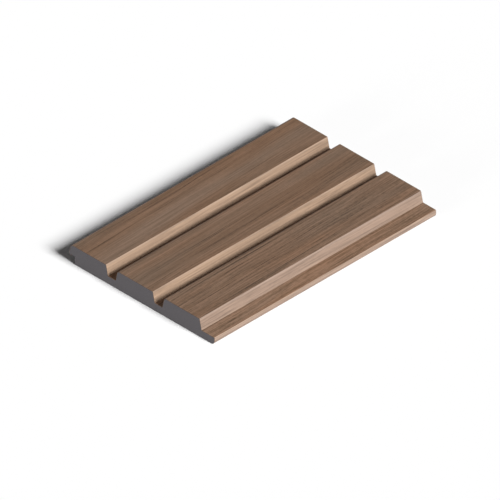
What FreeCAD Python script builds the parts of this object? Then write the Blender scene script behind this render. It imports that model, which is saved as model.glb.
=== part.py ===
import FreeCAD, Part
import math
import os

# Slatted wall panel of foamed polystyrene with a wood-look film, a short cut length.
# The frame is in millimetres: +X runs across the panel towards the tongue, +Y along
# its length, +Z out of its face. The origin is the middle of the flat back.

# Overall sizes
panel_thickness = 13.0
panel_length = 185.5

# Ribs and grooves of the face
rib_count = 3
rib_top_width = 29.5
flank_run = 1.7
groove_width = 6.25
web_thickness = 5.6

# Half-lap joint with the next panel
tongue_thickness = 5.4
lap_play = 0.1
lip_overhang = 5.2
butt_gap = 0.5

# Rounded edges of the finished face
lip_crown_round = 2.6
lip_side_round = 1.8
tongue_side_round = 0.5
groove_root_round = 0.4
lip_tip_round = 0.7
tongue_top_round = 0.4
tongue_lower_round = 3.3

# Rounded edges of the bare foam at the rebate
rebate_root_round = 0.5
butt_edge_round = 0.4

# Wood-look film bonded to the face
film_thickness = 0.25
film_turn_under = 2.6
film_back_margin = 0.2

# Worked out from the values above
rib_pitch = rib_top_width + 2 * flank_run + groove_width
lap_height = tongue_thickness + lap_play
tongue_edge_x = rib_count * rib_pitch - butt_gap
core_lower_round = tongue_lower_round - film_thickness
rebate_ceiling = lap_height + film_thickness


def point(x, z):
    """A point of the cross-section, in the plane across the panel."""
    return FreeCAD.Vector(x, 0, z)


def rounded_path(corners):
    """Edges that follow the corners (x, z, radius), each corner rounded by its radius."""
    edges = []
    position = point(*corners[0][:2])
    for before, corner, after in zip(corners, corners[1:], corners[2:]):
        apex = point(*corner[:2])
        radius = corner[2]
        towards_before = (point(*before[:2]) - apex).normalize()
        towards_after = (point(*after[:2]) - apex).normalize()
        half_angle = towards_before.getAngle(towards_after) / 2
        setback = radius / math.tan(half_angle)
        bisector = (towards_before + towards_after).normalize()
        arc_start = apex + towards_before * setback
        arc_middle = apex + bisector * (radius / math.sin(half_angle) - radius)
        arc_end = apex + towards_after * setback
        edges.append(Part.makeLine(position, arc_start))
        edges.append(Part.Arc(arc_start, arc_middle, arc_end).toShape())
        position = arc_end
    edges.append(Part.makeLine(position, point(*corners[-1][:2])))
    return edges


def lower_round(radius, first_angle, last_angle):
    """Part of the tongue's lower round, between two angles below the horizontal."""
    centre = point(tongue_edge_x - tongue_lower_round, core_lower_round)
    angles = (first_angle, (first_angle + last_angle) / 2, last_angle)
    ends = [centre + point(radius * math.cos(a), -radius * math.sin(a)) for a in angles]
    return Part.Arc(*ends).toShape()


# The film stops on the lower round, a little above the back of the panel
film_end_angle = math.asin((core_lower_round - film_back_margin) / tongue_lower_round)


def finished_face():
    """The panel's face across its width, from under the lip to the tongue's lower round."""
    flank_slope = flank_run / (panel_thickness - web_thickness)
    lip_drop = web_thickness - lap_height
    corners = [(film_turn_under - lip_overhang, lap_height, 0)]
    corners.append((-lip_overhang - flank_slope * lip_drop, lap_height, lip_tip_round))
    for index in range(rib_count):
        foot_start = index * rib_pitch - lip_overhang
        top_start = foot_start + flank_run
        top_end = top_start + rib_top_width
        foot_end = top_end + flank_run
        if index == 0:
            corners.append((top_start, panel_thickness, lip_crown_round))
        else:
            corners.append((foot_start, web_thickness, groove_root_round))
            corners.append((top_start, panel_thickness, lip_side_round))
        corners.append((top_end, panel_thickness, tongue_side_round))
        if index < rib_count - 1:
            corners.append((foot_end, web_thickness, groove_root_round))
    foot_end += flank_slope * (web_thickness - tongue_thickness)
    corners.append((foot_end, tongue_thickness, groove_root_round))
    corners.append((tongue_edge_x, tongue_thickness, tongue_top_round))
    corners.append((tongue_edge_x, core_lower_round, 0))
    edges = rounded_path(corners)
    edges.append(lower_round(tongue_lower_round, 0, film_end_angle))
    return Part.Wire(edges)


def film_section(face):
    """The film's band, as thick as the film all along the face."""
    return face.makeOffset2D(-film_thickness, 0, True, True)


def core_section(face):
    """The foam behind the film, closed by the rebate under the lip and the flat back."""
    behind_film = face.makeOffset2D(-film_thickness, 0, False, True)
    corners = [(film_turn_under - lip_overhang, rebate_ceiling, 0)]
    corners.append((0, rebate_ceiling, rebate_root_round))
    corners.append((0, 0, butt_edge_round))
    corners.append((tongue_edge_x - tongue_lower_round, 0, 0))
    edges = behind_film.Edges + rounded_path(corners)
    edges.append(lower_round(core_lower_round, film_end_angle, math.pi / 2))
    return Part.Face(Part.Wire(Part.sortEdges(edges)[0]))


def drawn_lengthwise(section, middle_x):
    """The section drawn out along the panel, and centred across and along it."""
    placed = section.translated(FreeCAD.Vector(-middle_x, -panel_length / 2, 0))
    return placed.extrude(FreeCAD.Vector(0, panel_length, 0))


face = finished_face()
middle_x = face.BoundBox.Center.x
foam_core = drawn_lengthwise(core_section(face), middle_x)
woodgrain_film = drawn_lengthwise(film_section(face), middle_x)

os.makedirs("parts", exist_ok=True)
for name, shape in (("foam_core", foam_core), ("woodgrain_film", woodgrain_film)):
    shape.exportStep("parts/" + name + ".step")
    box = shape.BoundBox
    print(name, "valid" if shape.isValid() else "not valid", "%.0f mm3" % shape.Volume)
    print("  across %.2f to %.2f" % (box.XMin, box.XMax))
    print("  along %.2f to %.2f" % (box.YMin, box.YMax))
    print("  up %.2f to %.2f" % (box.ZMin, box.ZMax))
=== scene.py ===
# %% [markdown]
# A slatted wall panel of foamed polystyrene
#
# The real product is one long extruded strip of charcoal foam, with a thin wood-look
# film bonded over its face. The CAD frame already holds both pieces at their true
# size: the foam with its ribs, tongue and rebate, and the film that follows the face.
# Their shapes are right, so they stay, and this lesson is about their finishes, the
# floor, the light and the camera.

# %% Load the frame
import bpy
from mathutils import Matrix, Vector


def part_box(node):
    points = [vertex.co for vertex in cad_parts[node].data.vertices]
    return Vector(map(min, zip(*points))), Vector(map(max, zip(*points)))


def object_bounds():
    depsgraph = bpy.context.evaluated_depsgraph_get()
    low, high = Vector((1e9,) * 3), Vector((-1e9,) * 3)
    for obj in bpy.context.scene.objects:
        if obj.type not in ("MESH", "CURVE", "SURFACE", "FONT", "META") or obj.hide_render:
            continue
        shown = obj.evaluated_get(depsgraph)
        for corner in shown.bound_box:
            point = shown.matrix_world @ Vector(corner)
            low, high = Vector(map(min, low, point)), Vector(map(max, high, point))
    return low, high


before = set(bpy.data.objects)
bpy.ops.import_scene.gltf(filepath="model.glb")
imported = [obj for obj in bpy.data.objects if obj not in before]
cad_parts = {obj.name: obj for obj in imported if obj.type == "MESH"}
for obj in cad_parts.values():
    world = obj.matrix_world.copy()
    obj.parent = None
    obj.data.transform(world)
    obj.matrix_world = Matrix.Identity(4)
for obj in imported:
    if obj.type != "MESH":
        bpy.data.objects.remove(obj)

cad_low, cad_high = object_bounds()
cad_size = cad_high - cad_low
MM_PER_METRE = 1000
print("panel, in millimetres:", [round(side * MM_PER_METRE, 1) for side in cad_size])

# %% [markdown]
# Helpers
#
# Colours are picked as sRGB hex codes, as in any paint program, but a shader works
# with linear light, so one function turns them round. A second function adds any
# node with its settings, and either types a value into a socket or links a wire to
# it. With it, a material reads like a recipe, one step for each node. A mix node has
# several inputs of the same name, so they go by number: 0 is the share, 2 and 3 are
# two numbers, and 6 and 7 are two colours. A third function starts a material, and a
# fourth gives the scale that draws a noise out along the panel.

# %% Helpers for colours, nodes and streaks
import bpy
import math
from mathutils import Vector


def linear_colour(hex_code):
    """The linear colour, with alpha, of an sRGB hex code."""
    channels = [int(hex_code[i:i + 2], 16) / 255 for i in (1, 3, 5)]
    # The numbers of the sRGB standard: a short straight part, then a bent one
    bent = [c / 12.92 if c <= 0.04045 else ((c + 0.055) / 1.055) ** 2.4 for c in channels]
    return (*bent, 1.0)


def add_node(tree, kind, inputs, **settings):
    """Adds a node, with its settings, and its inputs as values or as links."""
    node = tree.nodes.new(kind)
    for name, value in settings.items():
        setattr(node, name, value)
    for key, value in inputs.items():
        if isinstance(value, bpy.types.NodeSocket):
            tree.links.new(value, node.inputs[key])
        else:
            node.inputs[key].default_value = value
    return node


def new_material(name):
    """A material with nothing but an output node, its node tree, and that node."""
    material = bpy.data.materials.new(name)
    material.use_nodes = True
    material.node_tree.nodes.clear()
    output = material.node_tree.nodes.new("ShaderNodeOutputMaterial")
    return material, material.node_tree, output


def streak_scale(width, length):
    """The scale that draws a noise out into streaks of that width and length."""
    return (1 / width, 1 / length, 1 / width)


print("a mid brown as linear light:", [round(c, 3) for c in linear_colour("#7A6352")])

# %% [markdown]
# Wood-look film: where its grain runs
#
# The film is matt PVC, printed as brown oak and lightly embossed, and wrapped on with
# the grain along the panel. The print could be laid on with a UV map, which needs a
# seam somewhere. A pattern on Object coordinates has none: it is solid, like real
# wood, and runs over every rib edge. The coordinates are scaled to millimetres, so
# that each grain size below is a length on the panel. The printed grain drifts a
# little across the panel and wanders, so the coordinates are turned by a degree or
# two, and pushed sideways by a slow noise.

# %% Film coordinates
film, film_tree, film_output = new_material("printed oak decor film, matt PVC")
GRAIN_DRIFT = math.radians(-1.7)
WANDER_WIDTH, WANDER_LENGTH, WANDER_REACH = 30.0, 110.0, 6.0
WANDER_DETAIL, WANDER_ROUGHNESS = 2.0, 0.4

film_place = add_node(film_tree, "ShaderNodeTexCoord", {})
film_mm = add_node(
    film_tree, "ShaderNodeMapping",
    {"Vector": film_place.outputs["Object"], "Scale": (MM_PER_METRE,) * 3,
     "Rotation": (0, 0, GRAIN_DRIFT)})
wander_place = add_node(
    film_tree, "ShaderNodeMapping",
    {"Vector": film_mm.outputs["Vector"],
     "Scale": streak_scale(WANDER_WIDTH, WANDER_LENGTH)})
wander = add_node(
    film_tree, "ShaderNodeTexNoise",
    {"Vector": wander_place.outputs["Vector"], "Scale": 1.0, "Detail": WANDER_DETAIL,
     "Roughness": WANDER_ROUGHNESS})
wandering = add_node(
    film_tree, "ShaderNodeVectorMath",
    {0: wander.outputs["Color"], 1: (WANDER_REACH, 0, 0), 2: film_mm.outputs["Vector"]},
    operation="MULTIPLY_ADD")
print("grain drift:", round(math.degrees(GRAIN_DRIFT), 1), "degrees")

# %% [markdown]
# Wood-look film: its layers of grain
#
# Printed oak is several patterns at once: broad bands where the board grew faster,
# long thin streaks, shorter fine fibres, and pores. A single noise would give lines
# of one length only. So each pattern is a noise of its own, drawn out along the
# panel, and a small function makes such a layer from its width, its length, how
# finely it breaks up, and the place in the endless noise where it starts. The fibres
# and pores of the real print are about 0.2 mm wide, a third of a pixel, so they are
# drawn about three times as coarse. The last layer has the longer, clearer lines of
# the flanks.

# %% Grain layers
LAYER_ROUGHNESS = 0.6


def grain_layer(width, length, detail, start):
    """Noise in streaks of that width and length, in mm, from its own starting place."""
    print("a grain layer of streaks", width, "mm wide and", length, "mm long")
    place = add_node(
        film_tree, "ShaderNodeMapping",
        {"Vector": wandering.outputs["Vector"], "Location": (start, start / 3, start),
         "Scale": streak_scale(width, length)})
    noise = add_node(
        film_tree, "ShaderNodeTexNoise",
        {"Vector": place.outputs["Vector"], "Scale": 1.0, "Detail": detail,
         "Roughness": LAYER_ROUGHNESS})
    return noise.outputs["Fac"]


patches = grain_layer(width=14.0, length=150.0, detail=1.0, start=199.1)
bands = grain_layer(width=20.0, length=500.0, detail=1.0, start=560.0)
streaks = grain_layer(width=1.0, length=150.0, detail=2.0, start=49.8)
fibres = grain_layer(width=0.6, length=24.0, detail=2.0, start=53.0)
pores = grain_layer(width=0.5, length=3.0, detail=1.0, start=71.0)
flank_lines = grain_layer(width=1.2, length=120.0, detail=1.0, start=91.0)

# %% [markdown]
# Wood-look film: one tone for the whole grain
#
# A printer builds such a picture from one tone, light or dark, and a few inks. So the
# layers are added up to one tone round a half, each with its own strength. The
# darkest part of the streaks is taken off once more, which draws the single thin
# dark lines that oak has. A board isn't even from side to side, so two strengths
# change across the panel, from its middle on: the broad bands fade towards the
# tongue, and the fine grain gets stronger there.

# %% Strengths across the panel
LIP_SIDE_BANDS, TONGUE_SIDE_BANDS = 0.9, 0.25
LIP_SIDE_CONTRAST, TONGUE_SIDE_CONTRAST = 0.67, 1.12
film_low, film_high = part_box("woodgrain_film")
CHANGE_START, CHANGE_END = 0.0, film_high.x / 2

film_position = add_node(
    film_tree, "ShaderNodeSeparateXYZ", {"Vector": film_place.outputs["Object"]})
band_strength = add_node(
    film_tree, "ShaderNodeMapRange",
    {"Value": film_position.outputs["X"], "From Min": CHANGE_START, "From Max": CHANGE_END,
     "To Min": LIP_SIDE_BANDS, "To Max": TONGUE_SIDE_BANDS})
contrast = add_node(
    film_tree, "ShaderNodeMapRange",
    {"Value": film_position.outputs["X"], "From Min": CHANGE_START, "From Max": CHANGE_END,
     "To Min": LIP_SIDE_CONTRAST, "To Max": TONGUE_SIDE_CONTRAST})
print("film spans", round((film_high.x - film_low.x) * MM_PER_METRE, 1), "mm across the panel")

# %% Sum of the layers
STREAK_STRENGTH, FIBRE_STRENGTH, PORE_STRENGTH = 1.0, 1.0, 0.6
LINE_EDGE, LINE_CORE, LINE_DEPTH = 0.36, 0.26, 0.15
MIDDLE_TONE = 0.5
fine_strength = STREAK_STRENGTH + FIBRE_STRENGTH + PORE_STRENGTH

centred_bands = add_node(
    film_tree, "ShaderNodeMath", {0: bands, 1: MIDDLE_TONE}, operation="SUBTRACT")
banded = add_node(
    film_tree, "ShaderNodeMath",
    {0: centred_bands.outputs["Value"], 1: band_strength.outputs["Result"],
     2: MIDDLE_TONE - fine_strength * MIDDLE_TONE},
    operation="MULTIPLY_ADD")
tone = banded.outputs["Value"]
for layer, strength in ((streaks, STREAK_STRENGTH), (fibres, FIBRE_STRENGTH),
                        (pores, PORE_STRENGTH)):
    summed = add_node(
        film_tree, "ShaderNodeMath", {0: layer, 1: strength, 2: tone},
        operation="MULTIPLY_ADD")
    tone = summed.outputs["Value"]
dark_lines = add_node(
    film_tree, "ShaderNodeMapRange",
    {"Value": streaks, "From Min": LINE_EDGE, "From Max": LINE_CORE, "To Min": -MIDDLE_TONE,
     "To Max": -MIDDLE_TONE - LINE_DEPTH})
centred_tone = add_node(
    film_tree, "ShaderNodeMath", {0: tone, 1: dark_lines.outputs["Result"]},
    operation="ADD")
grain = add_node(
    film_tree, "ShaderNodeMath",
    {0: centred_tone.outputs["Value"], 1: contrast.outputs["Result"], 2: MIDDLE_TONE},
    operation="MULTIPLY_ADD")
print("streaks, fibres and pores add up to a strength of", fine_strength)

# %% [markdown]
# Wood-look film: the print's inks
#
# Two colours mixed would give one brown, lighter or darker. Real inks also change in
# hue, so a colour ramp with four stops turns the tone to ink, from the dark lines
# over the mid brown to the pale wood. Slow patches, warmer here and greyer there,
# keep the face from looking like one flat paint.

# %% Film inks
LINE_BROWN = linear_colour("#3B2A1F")
DEEP_BROWN = linear_colour("#624C3B")
GROUND_BROWN = linear_colour("#755C4A")
PALE_BROWN = linear_colour("#876B58")
WARM_TINT = linear_colour("#FFF9F1")
GREY_TINT = linear_colour("#F4FBFF")
INK_STOPS = ((0.05, LINE_BROWN), (0.3, DEEP_BROWN), (0.5, GROUND_BROWN), (0.72, PALE_BROWN))
WARM_PATCH, GREY_PATCH = 0.35, 0.65

inks = add_node(film_tree, "ShaderNodeValToRGB", {"Fac": grain.outputs["Value"]})
stops = inks.color_ramp.elements
for place, ink in INK_STOPS:
    stops.new(place).color = ink
# A new ramp has a black stop at its start and a white one at its end, and both go
stops.remove(stops[len(stops) - 1])
stops.remove(stops[0])
print("ink stops at", [round(stop.position, 2) for stop in stops])

grey_share = add_node(
    film_tree, "ShaderNodeMapRange",
    {"Value": patches, "From Min": WARM_PATCH, "From Max": GREY_PATCH})
tint = add_node(
    film_tree, "ShaderNodeMix",
    {0: grey_share.outputs["Result"], 6: WARM_TINT, 7: GREY_TINT}, data_type="RGBA")
top_print = add_node(
    film_tree, "ShaderNodeVectorMath", {0: inks.outputs["Color"], 1: tint.outputs[2]},
    operation="MULTIPLY")

# %% [markdown]
# Wood-look film: painted light on the flanks
#
# The slanting flanks that face the key lamp, and the tongue's edge, are painted a light
# tan, while the tops are brown, with a crisp change at the edge. This tan is painted
# light and a painted sheen: the flanks that face the other way keep the tops' brown.
# The flanks could be picked as faces of a second material, but the surface's own
# normal does it better: it turns sideways exactly where the film folds over the edge.
# The tan is a little greyer towards the tongue, and the grain runs through it more
# faintly. Heights and places on the panel are in metres here, as Blender has them.

# %% Flank tan, painted light
# Painted light: this tan stands in for the key lamp's light and sheen on the flanks that face
# it
FIRST_LIT_TAN = linear_colour("#957D69")
LAST_LIT_TAN = linear_colour("#887466")
TAN_CHANGE_START, TAN_CHANGE_END = 0.02, 0.05

lit_tan_share = add_node(
    film_tree, "ShaderNodeMapRange",
    {"Value": film_position.outputs["X"], "From Min": TAN_CHANGE_START,
     "From Max": TAN_CHANGE_END})
tan = add_node(
    film_tree, "ShaderNodeMix",
    {0: lit_tan_share.outputs["Result"], 6: FIRST_LIT_TAN, 7: LAST_LIT_TAN}, data_type="RGBA")
print("the tan changes", TAN_CHANGE_START * MM_PER_METRE, "to",
      TAN_CHANGE_END * MM_PER_METRE, "mm from the middle")

# %% Flank grain
FLANK_GRAIN_SHARE = 0.5
FLANK_GRAIN_LOW, FLANK_GRAIN_HIGH = 0.45, 1.05
FLANK_DARKEST, FLANK_PALEST = 0.72, 1.28
flank_grain = add_node(
    film_tree, "ShaderNodeMath",
    {0: grain.outputs["Value"], 1: FLANK_GRAIN_SHARE, 2: flank_lines},
    operation="MULTIPLY_ADD")
faint_grain = add_node(
    film_tree, "ShaderNodeMapRange",
    {"Value": flank_grain.outputs["Value"], "From Min": FLANK_GRAIN_LOW,
     "From Max": FLANK_GRAIN_HIGH, "To Min": FLANK_DARKEST, "To Max": FLANK_PALEST})
lit_flank_colour = add_node(
    film_tree, "ShaderNodeVectorMath",
    {0: tan.outputs[2], 1: faint_grain.outputs["Result"]}, operation="MULTIPLY")
print("flank print:", FLANK_DARKEST, "to", FLANK_PALEST, "times its tan")

# %% [markdown]
# Wood-look film: painted highlight on the fold, and the tongue
#
# A thin painted highlight, a paler line, lies just under each rib's edge on the tan
# flanks, where the film turns over the rounded fold. The highlight is found by its
# height. The tongue, which the next panel covers, is a shade lighter all over, and is
# found by its place across the panel.

# %% Painted highlight on the fold
FOLD_DEPTH, FOLD_BLEND = 0.0013, 0.0005
# Painted highlight: the tan just under each rib's edge is lifted to a paler line
HIGHLIGHT_LIFT = (1.07, 1.11, 1.17)
fold_start = film_high.z - FOLD_DEPTH
edge_highlight_share = add_node(
    film_tree, "ShaderNodeMapRange",
    {"Value": film_position.outputs["Z"], "From Min": fold_start,
     "From Max": fold_start + FOLD_BLEND})
painted_highlight_colour = add_node(
    film_tree, "ShaderNodeVectorMath",
    {0: lit_flank_colour.outputs["Vector"], 1: HIGHLIGHT_LIFT}, operation="MULTIPLY")
lit_flank_with_highlight = add_node(
    film_tree, "ShaderNodeMix",
    {0: edge_highlight_share.outputs["Result"], 6: lit_flank_colour.outputs["Vector"],
     7: painted_highlight_colour.outputs["Vector"]}, data_type="RGBA")
print("the fold starts at a height of", round(fold_start * MM_PER_METRE, 1), "mm")

# %% Tops, flanks and tongue
FLANK_TURN_START, FLANK_TURN_END = 0.42, 0.68
TONGUE_START, TONGUE_BLEND, TONGUE_LIGHTNESS = 0.0505, 0.001, 1.17
film_facing = add_node(
    film_tree, "ShaderNodeSeparateXYZ", {"Vector": film_place.outputs["Normal"]})
# Painted light: only faces turned towards the key lamp's side get the tan; the other flanks
# keep the tops' brown
lamp_side_share = add_node(
    film_tree, "ShaderNodeMapRange",
    {"Value": film_facing.outputs["X"], "From Min": FLANK_TURN_START,
     "From Max": FLANK_TURN_END})
print_and_painted_light = add_node(
    film_tree, "ShaderNodeMix",
    {0: lamp_side_share.outputs["Result"], 6: top_print.outputs["Vector"],
     7: lit_flank_with_highlight.outputs[2]}, data_type="RGBA")
lightness = add_node(
    film_tree, "ShaderNodeMapRange",
    {"Value": film_position.outputs["X"], "From Min": TONGUE_START,
     "From Max": TONGUE_START + TONGUE_BLEND, "To Min": 1.0, "To Max": TONGUE_LIGHTNESS})
film_colour = add_node(
    film_tree, "ShaderNodeVectorMath",
    {0: print_and_painted_light.outputs[2], 1: lightness.outputs["Result"]}, operation="MULTIPLY")
print("the tongue starts", TONGUE_START * MM_PER_METRE, "mm from the middle")

# %% [markdown]
# Wood-look film: matt and embossed
#
# The film is plastic, so it has a plastic's index of refraction and no metal. Its
# surface is matt, because rollers press the pores and fibres into it, a few
# hundredths of a millimetre deep. That is too shallow to model, and only shows in
# the shading, so a bump is enough. It reads the same layers that colour the print,
# which keeps colour and relief together, as on the real film.

# %% Film surface
FILM_IOR, FILM_GLOSS = 1.5, 0.2
PORE_LOW, PORE_HIGH = 0.3, 0.7
SMOOTHEST, ROUGHEST = 0.48, 0.62
EMBOSS_DEPTH, EMBOSS_STRENGTH = 0.00005, 0.6

film_roughness = add_node(
    film_tree, "ShaderNodeMapRange",
    {"Value": pores, "From Min": PORE_LOW, "From Max": PORE_HIGH, "To Min": SMOOTHEST,
     "To Max": ROUGHEST})
relief = add_node(
    film_tree, "ShaderNodeMath", {0: fibres, 1: pores}, operation="ADD")
emboss = add_node(
    film_tree, "ShaderNodeBump",
    {"Height": relief.outputs["Value"], "Strength": EMBOSS_STRENGTH,
     "Distance": EMBOSS_DEPTH})
film_shader = add_node(
    film_tree, "ShaderNodeBsdfPrincipled",
    {"Base Color": film_colour.outputs["Vector"],
     "Roughness": film_roughness.outputs["Result"], "IOR": FILM_IOR,
     "Specular IOR Level": FILM_GLOSS, "Normal": emboss.outputs["Normal"]})
film_tree.links.new(film_shader.outputs["BSDF"], film_output.inputs["Surface"])
print(film.name, "has", len(film_tree.nodes), "nodes")

# %% [markdown]
# Charcoal foam: the sawn ends
#
# The core is polystyrene with charcoal colour, foamed and extruded. Where it is
# sawn off, the closed cells lie open, so the end is dead matt with a fine speckle.
# Noise would blur into clouds, and cells have sharp borders, so the speckle is a
# Voronoi pattern, darker in the middle of each cell. Real cells are 0.1 to 0.3 mm
# wide, too fine to show, so they are drawn two to three times as coarse.

# %% Sawn foam
foam, foam_tree, foam_output = new_material("foamed polystyrene, charcoal")
FOAM_GREY = linear_colour("#7F7B7E")
CELL_GREY = linear_colour("#666265")
CELL_SIZE, CELL_EDGE, CELL_DARKNESS = 0.0005, 0.6, 0.5

foam_place = add_node(foam_tree, "ShaderNodeTexCoord", {})
cells = add_node(
    foam_tree, "ShaderNodeTexVoronoi",
    {"Vector": foam_place.outputs["Object"], "Scale": 1 / CELL_SIZE}, feature="F1")
cell_share = add_node(
    foam_tree, "ShaderNodeMapRange",
    {"Value": cells.outputs["Distance"], "From Min": 0.0, "From Max": CELL_EDGE,
     "To Min": CELL_DARKNESS, "To Max": 0.0})
sawn_colour = add_node(
    foam_tree, "ShaderNodeMix",
    {0: cell_share.outputs["Result"], 6: FOAM_GREY, 7: CELL_GREY}, data_type="RGBA")
print("foam cells are drawn", CELL_SIZE * MM_PER_METRE, "mm wide")

# %% [markdown]
# Charcoal foam: the skin of the back
#
# The back and the rebate were never cut. They keep the skin that the die gave them,
# a little darker and smoother than the sawn foam, with faint lines along the panel,
# as an extruded plastic has. The lines are a stretched noise, like the film's grain.

# %% Foam skin
SKIN_GREY = linear_colour("#716E70")
SKIN_LINE_GREY = linear_colour("#656164")
SKIN_LINE_WIDTH, SKIN_LINE_LENGTH, SKIN_LINE_DETAIL = 0.0012, 0.09, 3.0
SKIN_LINE_LOW, SKIN_LINE_HIGH = 0.35, 0.65

skin_place = add_node(
    foam_tree, "ShaderNodeMapping",
    {"Vector": foam_place.outputs["Object"],
     "Scale": streak_scale(SKIN_LINE_WIDTH, SKIN_LINE_LENGTH)})
skin_lines = add_node(
    foam_tree, "ShaderNodeTexNoise",
    {"Vector": skin_place.outputs["Vector"], "Scale": 1.0, "Detail": SKIN_LINE_DETAIL})
skin_share = add_node(
    foam_tree, "ShaderNodeMapRange",
    {"Value": skin_lines.outputs["Fac"], "From Min": SKIN_LINE_LOW,
     "From Max": SKIN_LINE_HIGH})
skin_colour = add_node(
    foam_tree, "ShaderNodeMix",
    {0: skin_share.outputs["Result"], 6: SKIN_GREY, 7: SKIN_LINE_GREY}, data_type="RGBA")
print("die lines are", SKIN_LINE_WIDTH * MM_PER_METRE, "mm wide")

# %% [markdown]
# Charcoal foam: one material for both
#
# A saw cut faces along the panel, and the skin faces any other way. So the surface's
# normal picks the colour, the roughness and the relief, and one material is enough.

# %% Foam surface
SAWN_TURN_START, SAWN_TURN_END = 0.4, 0.6
SAWN_ROUGHNESS, SKIN_ROUGHNESS = 0.9, 0.6
FOAM_IOR, FOAM_GLOSS = 1.55, 0.2
FOAM_RELIEF_DEPTH, FOAM_RELIEF_STRENGTH = 0.0001, 0.5

foam_facing = add_node(
    foam_tree, "ShaderNodeSeparateXYZ", {"Vector": foam_place.outputs["Normal"]})
endways = add_node(
    foam_tree, "ShaderNodeMath", {0: foam_facing.outputs["Y"]}, operation="ABSOLUTE")
sawn_share = add_node(
    foam_tree, "ShaderNodeMapRange",
    {"Value": endways.outputs["Value"], "From Min": SAWN_TURN_START,
     "From Max": SAWN_TURN_END})
foam_colour = add_node(
    foam_tree, "ShaderNodeMix",
    {0: sawn_share.outputs["Result"], 6: skin_colour.outputs[2], 7: sawn_colour.outputs[2]},
    data_type="RGBA")
foam_roughness = add_node(
    foam_tree, "ShaderNodeMapRange",
    {"Value": sawn_share.outputs["Result"], "To Min": SKIN_ROUGHNESS,
     "To Max": SAWN_ROUGHNESS})
foam_relief = add_node(
    foam_tree, "ShaderNodeMix",
    {0: sawn_share.outputs["Result"], 2: skin_lines.outputs["Fac"],
     3: cells.outputs["Distance"]})
foam_bump = add_node(
    foam_tree, "ShaderNodeBump",
    {"Height": foam_relief.outputs[0], "Strength": FOAM_RELIEF_STRENGTH,
     "Distance": FOAM_RELIEF_DEPTH})
foam_shader = add_node(
    foam_tree, "ShaderNodeBsdfPrincipled",
    {"Base Color": foam_colour.outputs[2], "Roughness": foam_roughness.outputs["Result"],
     "IOR": FOAM_IOR, "Specular IOR Level": FOAM_GLOSS,
     "Normal": foam_bump.outputs["Normal"]})
foam_tree.links.new(foam_shader.outputs["BSDF"], foam_output.inputs["Surface"])
print(foam.name, "has", len(foam_tree.nodes), "nodes")

# %% [markdown]
# Dressing the two pieces
#
# The foam and the film could be modelled again here, but their CAD shapes are exact
# already, down to the rounds. So each keeps its mesh and its place, and only the
# material in its slots is changed.

# %% Dress the two pieces
for node_name, material in (("woodgrain_film", film), ("foam_core", foam)):
    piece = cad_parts[node_name]
    for slot in piece.material_slots:
        slot.material = material
    print(node_name, "has", len(piece.data.polygons), "faces, now in", material.name)

# %% [markdown]
# Floor
#
# A plain pale floor under the panel takes its shadow. A floor as white as it looks
# would throw so much light back that the shadow under the lip would fade. So the
# camera, and any reflection, sees it white, and the light that it throws back is
# that of a pale grey studio floor. The sky further on uses the same switch.


# %% A switch for the rays that see white
def seen_white(tree):
    """One for a ray that comes from the camera, a reflection or glass, else zero."""
    ray = add_node(tree, "ShaderNodeLightPath", {})
    camera_or_glossy = add_node(
        tree, "ShaderNodeMath",
        {0: ray.outputs["Is Camera Ray"], 1: ray.outputs["Is Glossy Ray"]},
        operation="MAXIMUM")
    seen = add_node(
        tree, "ShaderNodeMath",
        {0: camera_or_glossy.outputs["Value"], 1: ray.outputs["Is Transmission Ray"]},
        operation="MAXIMUM")
    return seen.outputs["Value"]


print("rays that see white: camera, glossy and transmission")

# %% Floor
FLOOR_SIZE = 6.0
FLOOR_DROP = 0.0001
BOUNCE_GREY = linear_colour("#BEBEBE")
SHOWN_WHITE = linear_colour("#FFFFFF")

bpy.ops.object.select_all(action="DESELECT")
bpy.ops.mesh.primitive_plane_add(size=FLOOR_SIZE, location=(0, 0, cad_low.z - FLOOR_DROP))
bpy.ops.object.transform_apply(location=True, rotation=True, scale=True)
floor = bpy.context.object
floor.name = "floor"
floor_material, floor_tree, floor_output = new_material("pale studio floor")
floor_colour = add_node(
    floor_tree, "ShaderNodeMix",
    {0: seen_white(floor_tree), 6: BOUNCE_GREY, 7: SHOWN_WHITE}, data_type="RGBA")
floor_shader = add_node(
    floor_tree, "ShaderNodeBsdfDiffuse", {"Color": floor_colour.outputs[2]})
floor_tree.links.new(floor_shader.outputs["BSDF"], floor_output.inputs["Surface"])
floor.data.materials.append(floor_material)
print("floor:", FLOOR_SIZE, "m across")

# %% [markdown]
# Light
#
# A soft key lamp stands on the tongue's side, well above the floor. It could be an
# area lamp, but a distant one lights the whole length alike. Its height and spread
# are set by the shadow that the panel throws past its lip. A dim even sky and a low
# soft fill from the front light the sawn end. Each lamp is given by its share of the
# light on a level surface, and the shares add up to one, so that a level surface
# renders at the colour that is written for it.

# %% Lamps
KEY_HEIGHT, KEY_SPREAD = math.radians(33.2), math.radians(21)
FILL_HEIGHT, FILL_SPREAD = math.radians(8), math.radians(16)
SKY_SHARE, FILL_SHARE = 0.05, 0.02


def add_lamp(name, compass, height, spread, share):
    """A distant lamp that gives a level surface its share of the light."""
    data = bpy.data.lights.new(name, "SUN")
    data.energy = math.pi * share / math.sin(height)
    data.angle = spread
    lamp = bpy.data.objects.new(name, data)
    bpy.context.scene.collection.objects.link(lamp)
    towards = Vector((math.cos(compass) * math.cos(height),
                      math.sin(compass) * math.cos(height), math.sin(height)))
    lamp.rotation_euler = towards.to_track_quat("Z", "Y").to_euler()
    print(name, "lamp:", round(data.energy, 2), "W per square metre")


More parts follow.
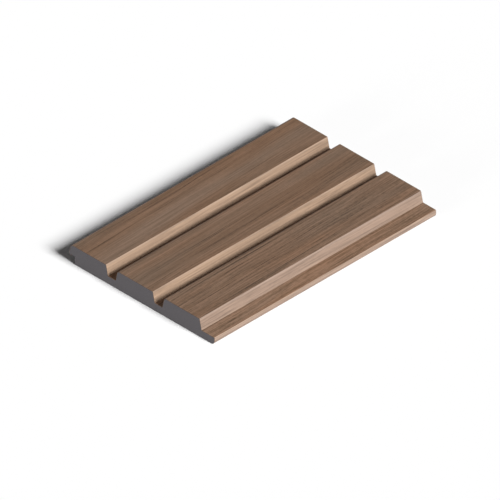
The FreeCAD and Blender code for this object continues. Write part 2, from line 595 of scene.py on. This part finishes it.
add_lamp("key", 0.0, KEY_HEIGHT, KEY_SPREAD, 1.0 - SKY_SHARE - FILL_SHARE)
add_lamp("front fill", -math.pi / 2, FILL_HEIGHT, FILL_SPREAD, FILL_SHARE)

# %% Sky
world = bpy.data.worlds.new("studio")
bpy.context.scene.world = world
world.use_nodes = True
world.node_tree.nodes.clear()
sky_strength = add_node(
    world.node_tree, "ShaderNodeMapRange",
    {"Value": seen_white(world.node_tree), "To Min": SKY_SHARE, "To Max": 1.0})
sky = add_node(
    world.node_tree, "ShaderNodeBackground",
    {"Color": SHOWN_WHITE, "Strength": sky_strength.outputs["Result"]})
add_node(world.node_tree, "ShaderNodeOutputWorld", {"Surface": sky.outputs["Background"]})
print("sky share:", SKY_SHARE)

# %% [markdown]
# Camera
#
# The photograph is a parallel view from above one corner, with no vanishing points,
# so the camera is orthographic. The middle of the panel's back lies at one pixel of
# the photo, and one pixel is a fixed length on the panel, and these two facts place
# the camera. Pixels are counted from zero, so the middle of the image is at 249.5.

# %% Camera
IMAGE_SIDE = 500
PIXEL_LENGTH = 0.0005922
BACK_MIDDLE_PIXEL = (252.05, 238.75)
AZIMUTH = math.radians(45)
ELEVATION = math.radians(35.264)
CAMERA_DISTANCE = 1.0

back = Vector((math.sin(AZIMUTH) * math.cos(ELEVATION),
               -math.cos(AZIMUTH) * math.cos(ELEVATION), math.sin(ELEVATION)))
right = Vector((math.cos(AZIMUTH), math.sin(AZIMUTH), 0))
up = back.cross(right)
image_middle = (IMAGE_SIDE - 1) / 2
across = (image_middle - BACK_MIDDLE_PIXEL[0]) * PIXEL_LENGTH
down = (image_middle - BACK_MIDDLE_PIXEL[1]) * PIXEL_LENGTH
camera_data = bpy.data.cameras.new("camera")
camera_data.type = "ORTHO"
camera_data.ortho_scale = IMAGE_SIDE * PIXEL_LENGTH
camera = bpy.data.objects.new("camera", camera_data)
bpy.context.scene.collection.objects.link(camera)
camera.location = right * across - up * down + back * CAMERA_DISTANCE
camera.rotation_euler = back.to_track_quat("Z", "Y").to_euler()
bpy.context.scene.camera = camera
bpy.context.scene.view_settings.view_transform = "Standard"
print("camera sees", round(camera_data.ortho_scale * MM_PER_METRE, 1), "mm across")
